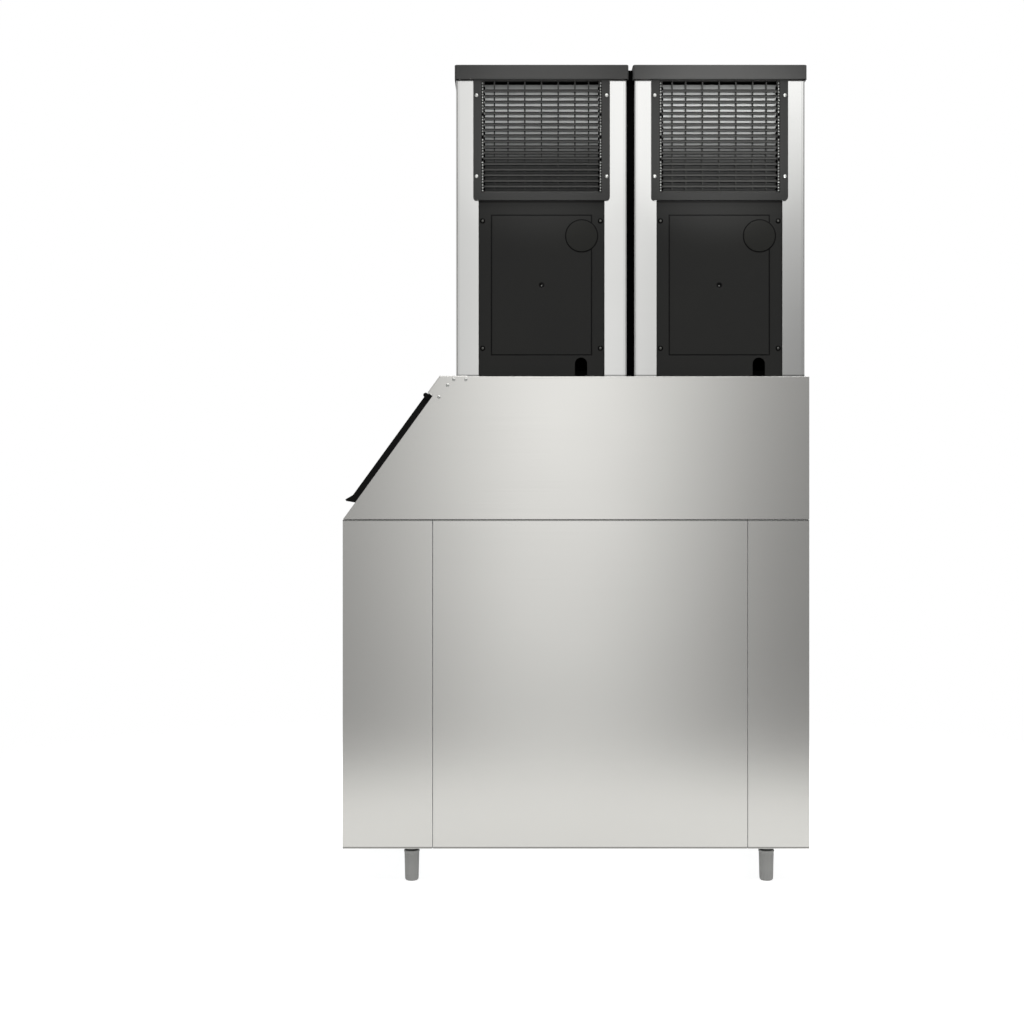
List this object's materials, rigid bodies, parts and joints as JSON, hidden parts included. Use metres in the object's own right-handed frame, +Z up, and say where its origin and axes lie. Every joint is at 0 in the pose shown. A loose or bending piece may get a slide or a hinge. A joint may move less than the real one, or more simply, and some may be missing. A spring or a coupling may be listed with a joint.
{
  "type": "ice machine",
  "caption": "Ice machine with side-by-side modular heads on a tall insulated storage bin, with a lift-up door on its slope, louvred air grilles and adjustable legs.",
  "frame": {"origin": "on the floor, under the middle of the bin", "axes": "+Z up, +X from the door's side to the rear of the bin, the service side with the grilles looks to -Y"},
  "size_m": [1.5, 0.7672, 2.634],
  "materials": {
    "bin_steel": "soft brushed",
    "head_steel": "soft brushed",
    "frame_steel": "satin grey",
    "tub_plastic": "smooth",
    "door_plastic": "satin black",
    "gasket_rubber": "soft",
    "rod_steel": "ground",
    "bracket_plastic": "satin black",
    "leg_grey": "satin grey",
    "drain_plastic": "smooth",
    "bright_screw": "bright",
    "black_screw": "black",
    "lid_plastic": "fine grain",
    "grille_plastic": "fine grain",
    "panel_paint": "satin black",
    "port_plastic": "satin black",
    "galvanised": "galvanised",
    "condenser_fins": "fine fins",
    "motor_paint": "black",
    "fan_plastic": "moulded",
    "compressor_paint": "gloss black",
    "evaporator_plate": "nickel plated",
    "trough_plastic": "moulded",
    "curtain_plastic": "moulded"
  },
  "bodies": {
    "cabinet": {"base_frame": "frame_steel", "bin_tub": "tub_plastic", "bright_screws": "bright_screw", "cabinet_side_front_far": "bin_steel", "cabinet_side_front_near": "bin_steel", "cabinet_side_middle_far": "bin_steel", "cabinet_side_middle_near": "bin_steel", "cabinet_side_rear_far": "bin_steel", "cabinet_side_rear_near": "bin_steel", "drain": "drain_plastic", "front_panel": "bin_steel", "hinge_brackets": "bracket_plastic", "hinge_cap": "bin_steel", "hinge_rod": "rod_steel", "hopper_side_far": "bin_steel", "hopper_side_near": "bin_steel", "left_head_base_pan": "galvanised", "left_head_bulkhead": "galvanised", "left_head_compressor": "compressor_paint", "left_head_condenser": "condenser_fins", "left_head_evaporator": "evaporator_plate", "left_head_fan_motor": "motor_paint", "left_head_fan_shroud": "galvanised", "left_head_front_panel": "head_steel", "left_head_grille": "grille_plastic", "left_head_lid": "lid_plastic", "left_head_port_cover": "port_plastic", "left_head_service_panel": "panel_paint", "left_head_side_left": "head_steel", "left_head_side_right": "head_steel", "left_head_water_trough": "trough_plastic", "panel_screws": "black_screw", "rear_panel": "bin_steel", "right_head_base_pan": "galvanised", "right_head_bulkhead": "galvanised", "right_head_compressor": "compressor_paint", "right_head_condenser": "condenser_fins", "right_head_evaporator": "evaporator_plate", "right_head_fan_motor": "motor_paint", "right_head_fan_shroud": "galvanised", "right_head_front_panel": "head_steel", "right_head_grille": "grille_plastic", "right_head_lid": "lid_plastic", "right_head_port_cover": "port_plastic", "right_head_service_panel": "panel_paint", "right_head_side_left": "head_steel", "right_head_side_right": "head_steel", "right_head_water_trough": "trough_plastic", "slope_frame": "bin_steel", "top_deck": "bin_steel"},
    "door_leaf": {"door": "door_plastic", "door_gasket": "gasket_rubber"},
    "front_near_leg": {"leg_front_near": "leg_grey"},
    "front_far_leg": {"leg_front_far": "leg_grey"},
    "rear_near_leg": {"leg_rear_near": "leg_grey"},
    "rear_far_leg": {"leg_rear_far": "leg_grey"},
    "left_fan": {"left_head_fan": "fan_plastic"},
    "left_curtain": {"left_head_curtain": "curtain_plastic"},
    "right_fan": {"right_head_fan": "fan_plastic"},
    "right_curtain": {"right_head_curtain": "curtain_plastic"}
  },
  "joints": [
    {"name": "door_hinge", "type": "hinge", "parent": "cabinet", "child": "door_leaf", "pos_m": [-0.48421, 0, 1.57156], "axis": [0, 1, 0], "range_deg": [0, 150]},
    {"name": "left_fan_spin", "type": "hinge", "parent": "cabinet", "child": "left_fan", "pos_m": [-0.1105, -0.278, 2.3975], "axis": [0, 1, 0], "continuous": true},
    {"name": "left_curtain_swing", "type": "hinge", "parent": "cabinet", "child": "left_curtain", "pos_m": [-0.1105, 0.105, 2.49], "axis": [1, 0, 0], "range_deg": [0, 25]},
    {"name": "right_fan_spin", "type": "hinge", "parent": "cabinet", "child": "right_fan", "pos_m": [0.4635, -0.278, 2.3975], "axis": [0, 1, 0], "continuous": true},
    {"name": "right_curtain_swing", "type": "hinge", "parent": "cabinet", "child": "right_curtain", "pos_m": [0.4635, 0.105, 2.49], "axis": [1, 0, 0], "range_deg": [0, 25]},
    {"name": "front_near_leg_screw", "type": "slide", "parent": "cabinet", "child": "front_near_leg", "axis": [0, 0, -1], "range_m": [0, 0.012]},
    {"name": "front_far_leg_screw", "type": "slide", "parent": "cabinet", "child": "front_far_leg", "axis": [0, 0, -1], "range_m": [0, 0.012]},
    {"name": "rear_near_leg_screw", "type": "slide", "parent": "cabinet", "child": "rear_near_leg", "axis": [0, 0, -1], "range_m": [0, 0.012]},
    {"name": "rear_far_leg_screw", "type": "slide", "parent": "cabinet", "child": "rear_far_leg", "axis": [0, 0, -1], "range_m": [0, 0.012]}
  ]
}
